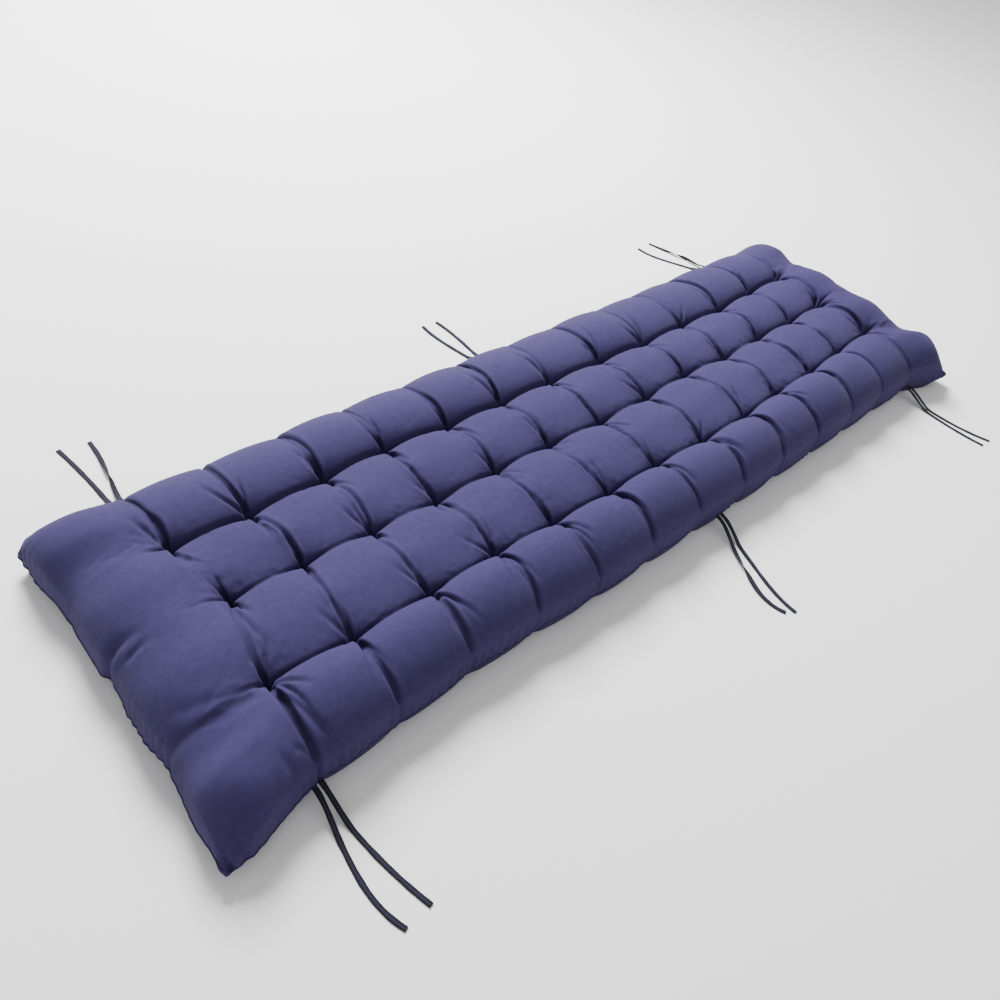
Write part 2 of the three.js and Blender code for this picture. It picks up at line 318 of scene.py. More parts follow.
def line_across(column, row, v):
    """The left or right edge of a cell."""
    point = mix(ANCHORS[column, row], ANCHORS[column, row + 1], v[..., None])
    for end, edge in ((-1, 0), (1, COLUMNS)):
        swelled = np.minimum(end_seam(point[..., 1]) + SCALLOP * np.sin(np.pi * v), LENGTH / 2)
        point[..., 0] = np.where(column == edge, end * swelled, point[..., 0])
    return point


def plan(column, row, u, v):
    """The place of each grid point seen from above, in millimetres."""
    along = mix(line_along(column, row, u), line_along(column, row + 1, u), v[..., None])
    across = mix(line_across(column, row, v), line_across(column + 1, row, v), u[..., None])
    low = mix(ANCHORS[column, row], ANCHORS[column + 1, row], u[..., None])
    high = mix(ANCHORS[column, row + 1], ANCHORS[column + 1, row + 1], u[..., None])
    return along + across - mix(low, high, v[..., None])


grid = cell_grid(CELL_STEPS)
print("one face of the cushion has", grid[0].shape[0], "by", grid[0].shape[1], "points")

# %% [markdown]
# Each puff rises in an arch from the seam or the tufts round it, like the roof of a small tent.
# Between two tufts the cloth stays higher than at the tufts, which gives the ridge lines.
# The top starts a little lower than the real one, because the stuffing lifts it in the next step.
# The underside has shallow puffs, which rest flat on the ground.

# %% Heights of the two faces
TOP = dict(tuft=48, crown=87, end_rise=13, side_rise=6, corner_rise=4,
           row_ridge=26, cross_ridge=41, side_ridge=50, end_ridge=61, corner_ridge=53)
UNDERSIDE = dict(tuft=27, swell=40, ridge=15)
# With 1 an arch is a half ellipse. Less makes it fuller, and more makes it leaner.
SEAM_FULLNESS, TUFT_FULLNESS, STRIP_FULLNESS, CREASE_FULLNESS = 0.64, 1.25, 1.1, 0.85
UNEVENNESS = 3.5
NEAR_TAPER, FAR_TAPER = 75, 12


def puff_character(column, row):
    """A steady number from -1 to 1 for each puff, so that no two are filled alike."""
    shuffled = np.sin(column * 12.9898 + row * 78.233) * 43758.5453
    return 2 * (shuffled - np.floor(shuffled)) - 1


def arch(share, on_seam, at_tufts):
    """From 0 to 1 and back: steep where the cell ends on a seam, gentler where it ends at tufts."""
    steep = (on_seam[0] & (share < 0.5)) | (on_seam[1] & (share >= 0.5))
    return np.sqrt(np.clip(1 - (2 * share - 1) ** 2, 0, 1)) ** np.where(steep, SEAM_FULLNESS, at_tufts)


def fullness(points):
    """The share of its full puff at each place: the near corners are thin points, the far ones blunt."""
    from_corner = np.hypot(LENGTH / 2 - np.abs(points[..., 0]), WIDTH / 2 - np.abs(points[..., 1]))
    taper = np.where(points[..., 1] < 0, NEAR_TAPER, FAR_TAPER)
    return 1 - np.clip(1 - from_corner / taper, 0, 1) ** 2


def heights(column, row, u, v, top):
    """The height of each grid point of the top or the underside, in millimetres."""
    at_end = (column == 0) | (column == COLUMNS - 1)
    at_side = (row == 0) | (row == ROWS - 1)
    base = np.full((COLUMNS + 1, ROWS + 1), TOP["tuft"] if top else UNDERSIDE["tuft"], float)
    base[0] = base[-1] = SEAM_HEIGHT
    base[:, 0] = base[:, -1] = SEAM_HEIGHT
    across_ridge = np.where(at_side, TOP["side_ridge"], TOP["cross_ridge"]) if top else UNDERSIDE["ridge"]
    arch_u = arch(u, (column == 0, column == COLUMNS - 1), STRIP_FULLNESS)
    arch_v = arch(v, (row == 0, row == ROWS - 1), TUFT_FULLNESS)
    low = mix(base[column, row], base[column + 1, row], u)
    high = mix(base[column, row + 1], base[column + 1, row + 1], u)
    ground = mix(low, high, v)
    corners = base[column, row] + base[column + 1, row] + base[column, row + 1] + base[column + 1, row + 1]
    rise = np.where(at_side, TOP["side_rise"], 0)
    rise = np.where(at_end, np.where(at_side, TOP["corner_rise"], TOP["end_rise"]), rise)
    crown = TOP["crown"] + rise + UNEVENNESS * puff_character(column, row)
    swell = crown - corners / 4 if top else UNDERSIDE["swell"]

    def ridge(number, last, height):
        return np.where((number == 0) | (number == last), 0, height)

    def row_ridge(line):
        outer = (line == 1) | (line == ROWS - 1)
        at_ends = np.where(outer, TOP["corner_ridge"], TOP["end_ridge"])
        return ridge(line, ROWS, np.where(at_end, at_ends, TOP["row_ridge"]) if top else UNDERSIDE["ridge"])

    along = mix(row_ridge(row), row_ridge(row + 1), v)
    across = mix(ridge(column, COLUMNS, across_ridge), ridge(column + 1, COLUMNS, across_ridge), u)
    by_seam = ((row == 0) & (v < 0.5)) | ((row == ROWS - 1) & (v >= 0.5))
    level = np.where(at_end & top & ~by_seam, ease(np.minimum(v, 1 - v) * 2), arch_v)
    bulge = arch_u * (level * swell + (1 - level) * along) + arch_v**CREASE_FULLNESS * (1 - arch_u) * across
    bulge = bulge * fullness(plan(column, row, u, v))
    return np.maximum(0, ground + (bulge if top else -bulge))


def face_points(steps, top):
    """One face of the cushion as a grid of points in metres."""
    cells = cell_grid(steps)
    return np.dstack([plan(*cells), heights(*cells, top)]) * MM


top_start = face_points(CELL_STEPS, True)
print("the top starts", round(top_start[..., 2].max() * 1000, 1), "mm high")

# %% [markdown]
# Now the stuffing pushes. Blender's cloth gets air pressure from below and no gravity. The
# seam and the tufts are held still. The cloth is cut a little larger than the start shape,
# most of all round the tufts, so it has to crease there as gathered cotton does. The other
# way, sculpting every crease by hand, would take longer and look less true.

# %% Cloth simulation
CLOTH_FRAMES = 16
SLACK, TUFT_SLACK, SLACK_LEVELS = 0.025, 0.10, 10
SLACK_REACH = 34 * MM
PRESSURE = 60
MOST_MOVED = 16 * MM
FLUTTER = 0.08 * MM
CLOTH_RULES = dict(
    quality=5, mass=0.002, tension_stiffness=400, compression_stiffness=400, shear_stiffness=130,
    bending_stiffness=0.003, tension_damping=5, compression_damping=5, shear_damping=5,
    bending_damping=0.5, air_damping=1, use_pressure=True, uniform_pressure_force=PRESSURE,
    vertex_group_mass="sewn", pin_stiffness=1, vertex_group_shrink="gathered",
    shrink_min=0, shrink_max=-TUFT_SLACK)


def grid_quads(shape):
    """The quads of a grid of points, turned to face up."""
    number = np.arange(shape[0] * shape[1]).reshape(shape)
    return np.stack([number[:-1, :-1], number[1:, :-1], number[1:, 1:], number[:-1, 1:]], -1).reshape(-1, 4)


def tuft_numbers(shape, steps):
    """The grid points held at each tuft: the middle one, and its neighbours."""
    number = np.arange(shape[0] * shape[1]).reshape(shape)
    held = []
    for column in range(1, COLUMNS):
        for row in range(1, ROWS):
            a, b = column * steps, row * steps
            held.append([number[a, b], number[a + 1, b], number[a - 1, b],
                         number[a, b + 1], number[a, b - 1]])
    return np.array(held)


def inflate(start):
    """The start shape after the stuffing has filled it."""
    shape = start.shape[:2]
    noise = np.random.default_rng(7)
    loose = start.copy()
    loose[1:-1, 1:-1, 2] += FLUTTER * noise.standard_normal((shape[0] - 2, shape[1] - 2))
    sheet = mesh_object("cloth_at_work", loose.reshape(-1, 3), grid_quads(shape).tolist())
    number = np.arange(shape[0] * shape[1]).reshape(shape)
    tufts = tuft_numbers(shape, CELL_STEPS)
    rim = np.concatenate([number[0], number[-1], number[:, 0], number[:, -1]])
    sewn = sheet.vertex_groups.new(name="sewn")
    sewn.add(np.unique(np.concatenate([rim, tufts.ravel()])).tolist(), 1.0, "REPLACE")
    flat = start.reshape(-1, 3)[:, :2]
    near = np.full(len(flat), np.inf)
    for tuft in flat[tufts[:, 0]]:
        near = np.minimum(near, np.linalg.norm(flat - tuft, axis=1))
    calm = ease((LENGTH / 2 * MM - np.abs(flat[:, 0])) / (TUFT_PITCH * MM))
    slack = mix(SLACK, TUFT_SLACK, np.exp(-((near / SLACK_REACH) ** 2))) * calm
    level = np.round(slack / TUFT_SLACK * SLACK_LEVELS).astype(int)
    gathered = sheet.vertex_groups.new(name="gathered")
    for step in range(SLACK_LEVELS + 1):
        gathered.add(np.flatnonzero(level == step).tolist(), step / SLACK_LEVELS, "REPLACE")
    cloth = sheet.modifiers.new("stuffing", "CLOTH")
    for rule, value in CLOTH_RULES.items():
        setattr(cloth.settings, rule, value)
    cloth.settings.effector_weights.gravity = 0
    cloth.collision_settings.use_collision = False
    cloth.collision_settings.use_self_collision = False
    cloth.point_cache.frame_start = 1
    cloth.point_cache.frame_end = CLOTH_FRAMES
    for moment in range(1, CLOTH_FRAMES + 1):
        scene.frame_set(moment)
    settled = np.empty(len(flat) * 3, np.float32)
    sheet.evaluated_get(bpy.context.evaluated_depsgraph_get()).data.vertices.foreach_get("co", settled)
    scene.frame_set(1)
    mesh = sheet.data
    bpy.data.objects.remove(sheet)
    bpy.data.meshes.remove(mesh)
    moved = settled.reshape(start.shape) - start
    far = np.linalg.norm(moved, axis=2, keepdims=True)
    return start + moved * np.minimum(1, MOST_MOVED / np.maximum(far, 1e-9))


top_settled = inflate(top_start)
print("the top settled", round(top_settled[..., 2].max() * 1000, 1), "mm high, and its lowest point is",
      round(top_settled[..., 2].min() * 1000, 1))

# %% [markdown]
# The simulated grid is coarse, so every square is split in four along smooth curves.
# Then come the creases that are finer than the grid: short puckers where the seam gathers the cloth.
# On the real cushion they stand 10 to 15 mm apart, and fade out within two fingers of the seam.

# %% Fine creases
PUCKER_PITCH, PUCKER_DEPTH, PUCKER_REACH, PUCKER_START = 14, 4.4, 15, 5
PUCKER_FADE, PUCKER_WANDER = 1.3, 14
RIM_WAVE, WAVE_REACH, STILL_STEPS = 1.2, 9, 12


def doubled(points):
    """One more point between every two, on a smooth curve through them, along the first axis."""
    longer = np.concatenate([2 * points[:1] - points[1:2], points, 2 * points[-1:] - points[-2:-1]])
    between = (9 * (longer[1:-2] + longer[2:-1]) - longer[:-3] - longer[3:]) / 16
    result = np.empty((2 * len(points) - 1,) + points.shape[1:])
    result[::2] = points
    result[1::2] = between
    return result


def grid_normals(points):
    """The direction away from the stuffing at each point of a grid."""
    across = np.cross(np.gradient(points, axis=0), np.gradient(points, axis=1))
    return across / np.maximum(np.linalg.norm(across, axis=2, keepdims=True), 1e-12)


def wander(seed, count, smooth):
    """A smooth random line of values about 0."""
    values = np.random.default_rng(seed).standard_normal(count + 6 * smooth)
    kernel = np.exp(-0.5 * (np.arange(-3 * smooth, 3 * smooth + 1) / smooth) ** 2)
    values = np.convolve(values, kernel / math.sqrt((kernel**2).sum()), "same")
    return values[3 * smooth:3 * smooth + count]


def seam_edges(points):
    """The four seams in turn: number, line, axis, shape of its values, how far off each point is."""
    length, width = points.shape[:2]
    for number, (line, axis) in enumerate(((0, 1), (width - 1, 1), (0, 0), (length - 1, 0))):
        shape = (length, 1) if axis == 1 else (1, width)
        away = np.linalg.norm(points - np.take(points, [line], axis=axis), axis=2)
        yield number, line, axis, shape, away


def puckers(points, seed):
    """How far each point is pushed out or in by the gathers of the nearest seam, in metres."""
    push = np.zeros(points.shape[:2])
    for number, line, axis, shape, away in seam_edges(points):
        edge = np.take(points, [line], axis=axis)
        run = np.cumsum(np.linalg.norm(np.gradient(edge, axis=1 - axis), axis=2), axis=1 - axis)
        waver = wander(seed + number, max(shape), PUCKER_WANDER).reshape(shape)
        strength = wander(seed + 9 + number, max(shape), PUCKER_WANDER).reshape(shape)
        strength = 0.5 + 0.5 * np.tanh(1.6 * strength)
        phase = 2 * np.pi * run / (PUCKER_PITCH * MM) + 2.6 * waver
        fade = np.exp(-((away / (PUCKER_REACH * MM)) ** PUCKER_FADE))
        fade = fade * (0.2 + 0.8 * ease(away / (PUCKER_START * MM)))
        push += PUCKER_DEPTH * MM * np.cos(phase) * strength * fade
    return push


def waved_rim(points, seed):
    """The points with small waves in the seam, which fade within a finger's breadth."""
    for number, line, axis, shape, away in seam_edges(points):
        place = np.arange(max(shape))
        still = ease(np.minimum(place, place[::-1]) / STILL_STEPS)
        out, up = ((wander(seed + shift + number, max(shape), smooth) * still).reshape(shape)
                   for shift, smooth in ((0, 5), (5, 7)))
        fade = np.exp(-((away / (WAVE_REACH * MM)) ** 2))
        points[..., axis] -= math.copysign(1, line - 1) * np.abs(out) * RIM_WAVE * MM * fade
        points[..., 2] += up * RIM_WAVE * MM * fade
    return points


top_fine = waved_rim(doubled(doubled(top_settled).swapaxes(0, 1)).swapaxes(0, 1), 70)
top_fine += grid_normals(top_fine) * puckers(top_fine, 40)[..., None]
print("the finer top has", top_fine.shape[0] * top_fine.shape[1], "points")

# %% [markdown]
# At each tuft the cloth is pulled down to one point, and its spare width has to go somewhere:
# it runs out from the pit in a fan of creases. Most point across the cushion, towards the next tuft,
# and the longest run from the outer tufts down to the seam. Faint stray lines lie between them.
# A crease is a sharp valley between two soft shoulders. It starts at the tuft and dies away.

# %% Creases at the tufts
SHOULDER, SHOULDER_AT, SHOULDER_WIDTH = 0.14, 2.0, 1.1
VALLEY_SHARPNESS, CREASE_TIP = 1.4, 0.1
FADE_FROM, FADE_OVER = 0.35, 0.6
# Values in brackets are a least and a most. Sizes are in millimetres, turns in radians.
MAIN_CREASE = dict(depth=(4.5, 6.5), width=(2.3, 3.0), bow=(1, 6), lean=0.7, keep=0.6, keep_at_seam=0.95)
FAN_CREASE = dict(depth=(2.8, 4.8), width=(2.2, 3.0), bow=3.5, turn=0.3, lean=0.8,
                  length=(38, 72), length_to_seam=(55, 100))
END_CREASE = dict(depth=(0.6, 1.3), width=(2, 3.5), bow=3, turn=0.5, lean=0,
                  length=(12, 24), length_to_seam=(30, 60))
STRAY_CREASE = dict(depth=(0.3, 0.9), width=(2.4, 4.5), bow=4, half_length=(12, 34),
                    angle=1.1, turn=0.5, lean=0.8, keep=0.5)
STRAY_COUNT, STRAY_MARGIN = 150, 40


def press_crease(push, flat, start, end, depth, width, bow=0.0, lean=0.0, keep=0.0):
    """Adds one crease to the push of the points near it. Sizes are in millimetres.

    bow bends the crease sideways, lean makes one shoulder higher than the other,
    and keep is the share of its depth that it still has at its far end.
    """
    line = np.subtract(end, start)
    length = float(np.hypot(*line))
    reach = length / 2 + 4 * width + abs(bow)
    middle = np.add(start, end) / 2
    close = (np.abs(flat[..., 0] - middle[0]) < reach) & (np.abs(flat[..., 1] - middle[1]) < reach)
    offset = flat[close] - start
    along = offset @ line / length**2
    across = (offset[:, 1] * line[0] - offset[:, 0] * line[1]) / length - 4 * bow * along * (1 - along)
    wide = width * (0.8 + 0.5 * np.clip(along, 0, 1))
    valley = np.exp(-((np.abs(across) / wide) ** VALLEY_SHARPNESS))
    beside = (np.abs(across) - SHOULDER_AT * wide) / (SHOULDER_WIDTH * wide)
    shoulders = np.exp(-(beside**2)) * (1 + lean * np.sign(across))
    fade = mix(1, keep, ease((along - FADE_FROM) / FADE_OVER))
    fade = ease(along / CREASE_TIP) * fade * ease((1 - along) / CREASE_TIP)
    push[close] += depth * (SHOULDER * shoulders - valley) * fade


def pointing(angle):
    """The direction of an angle, as x and y."""
    return np.array((math.cos(angle), math.sin(angle)))


def crease_out(chance, push, flat, here, straight, kind, length):
    """Presses one crease of a kind that runs out from a tuft, turned and bent at random."""
    angle = straight + chance.normal(0, kind["turn"])
    tip = here + chance.uniform(*kind[length]) * pointing(angle)
    depth, width = chance.uniform(*kind["depth"]), chance.uniform(*kind["width"])
    bow = chance.normal(0, kind["bow"])
    lean = chance.uniform(-kind["lean"], kind["lean"]) if kind["lean"] else 0
    press_crease(push, flat, here, tip, depth, width, bow, lean)


def tuft_fans(points):
    """The push in metres of all the creases that start at the tufts."""
    chance = np.random.default_rng(21)
    flat = points[..., :2] / MM
    push = np.zeros(points.shape[:2])
    main = MAIN_CREASE
    for column in range(1, COLUMNS):
        for row in range(1, ROWS):
            here = ANCHORS[column, row]
            for side in (-1, 1):
                there = ANCHORS[column, row + side]
                border = row + side in (0, ROWS)
                straight = math.atan2(*(there - here)[::-1])
                if side > 0 or border:
                    depth, width = chance.uniform(*main["depth"]), chance.uniform(*main["width"])
                    bow = chance.choice((-1, 1)) * chance.uniform(*main["bow"])
                    lean = chance.choice((-main["lean"], main["lean"]))
                    keep = main["keep_at_seam" if border else "keep"]
                    press_crease(push, flat, here, there, depth, width, bow, lean, keep)
                for _ in range(3 if border else 2):
                    length = "length_to_seam" if border else "length"
                    crease_out(chance, push, flat, here, straight, FAN_CREASE, length)
            for end in (0, math.pi):
                outward = (column == 1 and end > 0) or (column == COLUMNS - 1 and end == 0)
                length = "length_to_seam" if outward else "length"
                crease_out(chance, push, flat, here, end, END_CREASE, length)
    return push * MM


def stray_lines(points):
    """The push in metres of faint short creases, which lie anywhere and mostly aslant."""
    chance = np.random.default_rng(33)
    flat = points[..., :2] / MM
    push = np.zeros(points.shape[:2])
    corner = np.array((LENGTH / 2 - STRAY_MARGIN, WIDTH / 2 - STRAY_MARGIN))
    kind = STRAY_CREASE
    for _ in range(STRAY_COUNT):
        middle = chance.uniform(-corner, corner)
        angle = chance.normal(kind["angle"], kind["turn"])
        half = chance.uniform(*kind["half_length"]) * pointing(angle)
        depth, width = chance.uniform(*kind["depth"]), chance.uniform(*kind["width"])
        bow, lean = chance.normal(0, kind["bow"]), chance.uniform(-kind["lean"], kind["lean"])
        press_crease(push, flat, middle - half, middle + half, depth, width, bow, lean, kind["keep"])
    return push * MM


fans, strays = tuft_fans(top_fine), stray_lines(top_fine)
print("creases at the tufts are up to", round(float(-fans.min()) * 1000, 1), "mm deep")

# %% [markdown]
# The ends have no tufts near their seams, so larger single folds run there and round the last tufts.
# Each one is a row of a table: where it starts and ends in millimetres, how deep and wide it is,
# how far it bows, and what share of its depth it keeps at its far end.
# A sculptor would draw them with a brush; a table keeps their places easy to change.

# %% Large folds at the ends
FOLD_COLUMNS = ("start", "end", "depth", "width", "bow", "keep")
FOLDS = {
    "near tuft, upper trough": ((-664, -113), (-752, -86), 2.4, 5.5, 4, 0.5),
    "near tuft, lower trough": ((-664, -118), (-772, -106), 3.8, 6.5, 6, 0.75),
    "head seam, left of the tuck": ((-774, 24), (-742, 34), 3.2, 5, -4, 0.3),
    "head seam, right of the tuck": ((-776, 16), (-722, 14), 4.5, 5, 5, 0.2),
    "head, short fold": ((-752, -2), (-718, -2), 2.4, 3.6, 2, 0.2),
    "far tuft, first": ((-650, 115), (-684, 143), 1.3, 2.8, 2, 0.2),
    "far tuft, second": ((-652, 112), (-704, 106), 1.3, 3.4, -4, 0.2),
    "far tuft, third": ((-650, 118), (-690, 160), 1.3, 2.5, -3, 0.2),
    "far tuft, outward": ((-649, 122), (-646, 168), 3.4, 3.6, -2, 0.3),
    "far to middle, first": ((-647, 104), (-634, 12), 2.4, 2.6, -7, 0.9),
    "far to middle, second": ((-643, 100), (-641, 28), 2.0, 2.4, 4, 0.3),
    "middle tuft, down": ((-640, 2), (-657, -92), 3.0, 2.8, 8, 0.8),
    "middle tuft, beside it": ((-636, 0), (-653, -68), 2.2, 2.5, 4, 0.2),
    "first puff, sharp fold": ((-629, -6), (-623, -84), 3.2, 2.6, -5, 0.25),
    "near tuft, to the seam": ((-652, -120), (-626, -216), 4.0, 3.4, -2, 0.5),
    "above the first tie": ((-684, -186), (-680, -216), 2.4, 3.4, 1, 0.6),
    "beside the first tie": ((-668, -188), (-650, -216), 2.2, 3.0, 2, 0.6),
    "foot seam, tuck": ((776, 20), (722, 32), 5.0, 6, 4, 0.2),
    "foot, near tuft outward": ((652, -100), (716, -132), 3.0, 5, 4, 0.3),
    "foot, far tuft outward": ((652, 112), (720, 136), 2.6, 4.5, -4, 0.3),
}


def large_folds(points):
    """The push in metres of the folds in the table."""
    flat = points[..., :2] / MM
    push = np.zeros(points.shape[:2])
    for row in FOLDS.values():
        press_crease(push, flat, **dict(zip(FOLD_COLUMNS, row)))
    return push * MM


def combed(values):
    """The values of a grid with the steps between neighbouring points eased."""
    values[1:-1] = (values[:-2] + 2 * values[1:-1] + values[2:]) / 4
    values[:, 1:-1] = (values[:, :-2] + 2 * values[:, 1:-1] + values[:, 2:]) / 4
    return values


creased = fans + combed(large_folds(top_fine) + strays)
top_fine += grid_normals(top_fine) * creased[..., None]
print("deepest crease", round(float(-creased.min()) * 1000, 1), "mm, and", len(FOLDS), "large folds")

# %% [markdown]
# Top and underside share the points of the seam, so the cushion is one closed bag.
# The underside is hardly ever seen, so it keeps a coarser grid: its outermost faces take in
# four seam points on each side, and no gap can open between the two.

# %% One closed cushion
UNDER_STEPS = 12
SKIP = 2 * CELL_STEPS // UNDER_STEPS


def close_bag(top, under):
    """The points and faces of the whole cushion."""
    length, width = top.shape[:2]
    top_number = np.arange(length * width).reshape(length, width)
    number = np.full(under.shape[:2], -1)
    number[0], number[-1] = top_number[0, ::SKIP], top_number[-1, ::SKIP]
    number[:, 0], number[:, -1] = top_number[::SKIP, 0], top_number[::SKIP, -1]
    inside = number < 0
    number[inside] = length * width + np.arange(inside.sum())
    faces = grid_quads((length, width)).tolist()
    last_a, last_b = number.shape[0] - 2, number.shape[1] - 2

    def seam_run(a, b, a2, b2):
        """The seam points between two neighbours of the coarse grid, without the last."""
        along_seam = (a == a2 and a in (0, last_a + 1)) or (b == b2 and b in (0, last_b + 1))
        if not along_seam:
            return [int(number[a, b])]
        steps = [(a * SKIP + (a2 - a) * k, b * SKIP + (b2 - b) * k) for k in range(SKIP)]
        return [int(top_number[step]) for step in steps]

    for a in range(last_a + 1):
        for b in range(last_b + 1):
            ring = ((a, b), (a, b + 1), (a + 1, b + 1), (a + 1, b))
            face = []
            for here, there in zip(ring, ring[1:] + ring[:1]):
                face += seam_run(*here, *there)
            faces.append(face)
    points = np.vstack([top.reshape(-1, 3), under[inside]])
    return points, faces


under = face_points(UNDER_STEPS, False)
bag_points, bag_faces = close_bag(top_fine, under)
bag_points[:, 2] = np.maximum(bag_points[:, 2], 0)
cushion = mesh_object("cushion_cover", bag_points, bag_faces, bag_points[:, :2])
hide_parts("cushion")
print("cushion:", len(bag_points), "points,", len(bag_faces), "faces")

# %% [markdown]
# How hollow or raised the cloth is sets its colour: raised places are a little paler, as wear and painted
# light, and the pits get painted shade. It is measured once and stored on the points as an attribute.

# %% Hollow and raised places
RELIEF_REACH, FULL_RELIEF, RIM_BAND = 8, 0.45, 14


def raised(points, reach):
    """How far each point stands above the cloth around it, in metres, and less than 0 in a hollow."""
    around = points.copy()
    for _ in range(reach):
        around = combed(around)
    return ((points - around) * grid_normals(points)).sum(2)


# Raised places are painted paler, as wear and painted light, and hollows get painted shade.
fine_relief = np.tanh(raised(top_fine, RELIEF_REACH) / (FULL_RELIEF * MM))
relief_for_wear_and_shade = np.zeros(len(bag_points), np.float32)
from_rim = np.minimum(top_fine[..., 2] / MM - SEAM_HEIGHT, RIM_BAND) / RIM_BAND
relief_for_wear_and_shade[:fine_relief.size] = (fine_relief * ease(from_rim)).ravel()
cushion.data.attributes.new("relief_for_wear_and_shade", "FLOAT", "POINT").data.foreach_set("value", relief_for_wear_and_shade)
print("raised places from", round(float(relief_for_wear_and_shade.min()), 2), "to", round(float(relief_for_wear_and_shade.max()), 2))

# %% [markdown]
# Every tuft is a stitch of thick thread that goes right through the cushion and is tied on top.
# Only a short bar of thread and its knot show in each pit.
# They repeat at all 39 tufts of the top face, so Geometry Nodes place them:
# a point for each tuft goes in, and one small bar and knot are set on every point, turned at random.

# %% Tuft threads with Geometry Nodes
THREAD, BAR_LENGTH, THREAD_LIFT = 1.1 * MM, 9 * MM, 0.6 * MM
DARK_THREAD, PALE_THREAD = (0.006, 0.006, 0.016, 1), (0.018, 0.016, 0.042, 1)


def node_tree(name, inputs):
    """A geometry tree with named number inputs, and its way in and out."""
    tree = bpy.data.node_groups.new(name, "GeometryNodeTree")
    tree.interface.new_socket("Geometry", in_out="INPUT", socket_type="NodeSocketGeometry")
    for label, kind, value in inputs:
        tree.interface.new_socket(label, in_out="INPUT", socket_type=kind).default_value = value
    tree.interface.new_socket("Geometry", in_out="OUTPUT", socket_type="NodeSocketGeometry")
    return tree, tree.nodes.new("NodeGroupInput"), tree.nodes.new("NodeGroupOutput")


def feed(tree, target, value):
    """Gives an input a socket, the first output of a node, or a plain value."""
    if isinstance(value, bpy.types.Node):
        value = value.outputs[0]
    if isinstance(value, bpy.types.NodeSocket):
        tree.links.new(value, target)
    else:
        target.default_value = value


def put(tree, kind, feeds=(), **settings):
    """A new node with its settings, whose inputs get what feeds gives them."""
    node = tree.nodes.new(kind)
    for key, value in settings.items():
        setattr(node, key, value)
    for key, value in dict(feeds).items():
        feed(tree, node.inputs[key], value)
    return node


def math_node(tree, operation, *values, clamp=False):
    """The result of a sum on sockets and plain numbers."""
    return put(tree, "ShaderNodeMath", enumerate(values), operation=operation, use_clamp=clamp).outputs[0]


def end_tree(tree, shape, material, way_out):
    """Ends a geometry tree with real smooth faces in one material."""
    real = put(tree, "GeometryNodeRealizeInstances", {"Geometry": shape})
    smooth = put(tree, "GeometryNodeSetShadeSmooth", {"Geometry": real})
    done = put(tree, "GeometryNodeSetMaterial", {"Geometry": smooth, "Material": material})
    feed(tree, way_out.inputs[0], done)


def new_finish(name, values):
    """A new material, its node tree and its shader, with plain values set."""
    material = bpy.data.materials.new(name)
    material.use_nodes = True
    shader = material.node_tree.nodes["Principled BSDF"]
    for label, value in values.items():
        shader.inputs[label].default_value = value
    return material, material.node_tree, shader.inputs


def blend(tree, factor, a, b, amount=None):
    """A colour between a and b. Factor and colours may be sockets or plain values."""
    if amount is not None:
        factor = math_node(tree, "MULTIPLY", factor, amount, clamp=True)
    feeds = {"Factor": factor, "A": a, "B": b}
    return put(tree, "ShaderNodeMix", feeds, data_type="RGBA").outputs["Result"]


def thread_material():
    """Matt dark thread, a little darker than the cloth."""
    material, tree, shader = new_finish("tuft_thread", {"Roughness": 0.8, "Specular IOR Level": 0.25})
    place = put(tree, "ShaderNodeTexCoord")
    ply = put(tree, "ShaderNodeTexNoise", {"Vector": place.outputs["Object"], "Scale": 900})
    feed(tree, shader["Base Color"], blend(tree, ply, DARK_THREAD, PALE_THREAD))
    bump = put(tree, "ShaderNodeBump", {"Height": ply, "Strength": 0.5, "Distance": 0.0003})
    feed(tree, shader["Normal"], bump)
    return material


THREAD_FINISH = thread_material()


def tuft_tree():
    """Points in; a bar of thread with a knot on every point out."""
    tree, way_in, way_out = node_tree("tuft_stitch", [
        ("Thread", "NodeSocketFloat", THREAD), ("Bar length", "NodeSocketFloat", BAR_LENGTH),
        ("Seed", "NodeSocketInt", 3)])
    given = way_in.outputs
    half = math_node(tree, "MULTIPLY", given["Bar length"], 0.5)
    start, end = [
        put(tree, "ShaderNodeCombineXYZ", {"X": math_node(tree, "MULTIPLY", half, sign), "Z": -0.0012})
        for sign in (-1, 1)]
    bar = put(tree, "GeometryNodeCurveQuadraticBezier",
              {"Start": start, "Middle": (0, 0.0004, 0.0022), "End": end, "Resolution": 8})
    strand = put(tree, "GeometryNodeCurvePrimitiveCircle",
                 {"Radius": math_node(tree, "MULTIPLY", given["Thread"], 0.5), "Resolution": 7})
    rope = put(tree, "GeometryNodeCurveToMesh", {"Curve": bar, "Profile Curve": strand, "Fill Caps": True})
    knot = put(tree, "GeometryNodeMeshUVSphere", {"Radius": given["Thread"], "Segments": 10, "Rings": 7})
    sit = put(tree, "GeometryNodeTransform",
              {"Geometry": knot, "Translation": (0.0006, 0, 0.0009), "Scale": (1.25, 1.0, 0.8)})
    both = put(tree, "GeometryNodeJoinGeometry", {"Geometry": rope})
    feed(tree, both.inputs["Geometry"], sit)
    spin = put(tree, "FunctionNodeRandomValue",
               {0: (-0.25, -0.25, -0.7), 1: (0.25, 0.25, 0.7), "Seed": given["Seed"]},
               data_type="FLOAT_VECTOR")
    size = put(tree, "FunctionNodeRandomValue", {2: 0.8, 3: 1.15, "Seed": given["Seed"]},
               data_type="FLOAT")
    each = put(tree, "GeometryNodeInstanceOnPoints", {
        "Points": given["Geometry"], "Instance": both, "Rotation": spin, "Scale": size.outputs[1]})
    end_tree(tree, each, THREAD_FINISH, way_out)
    return tree


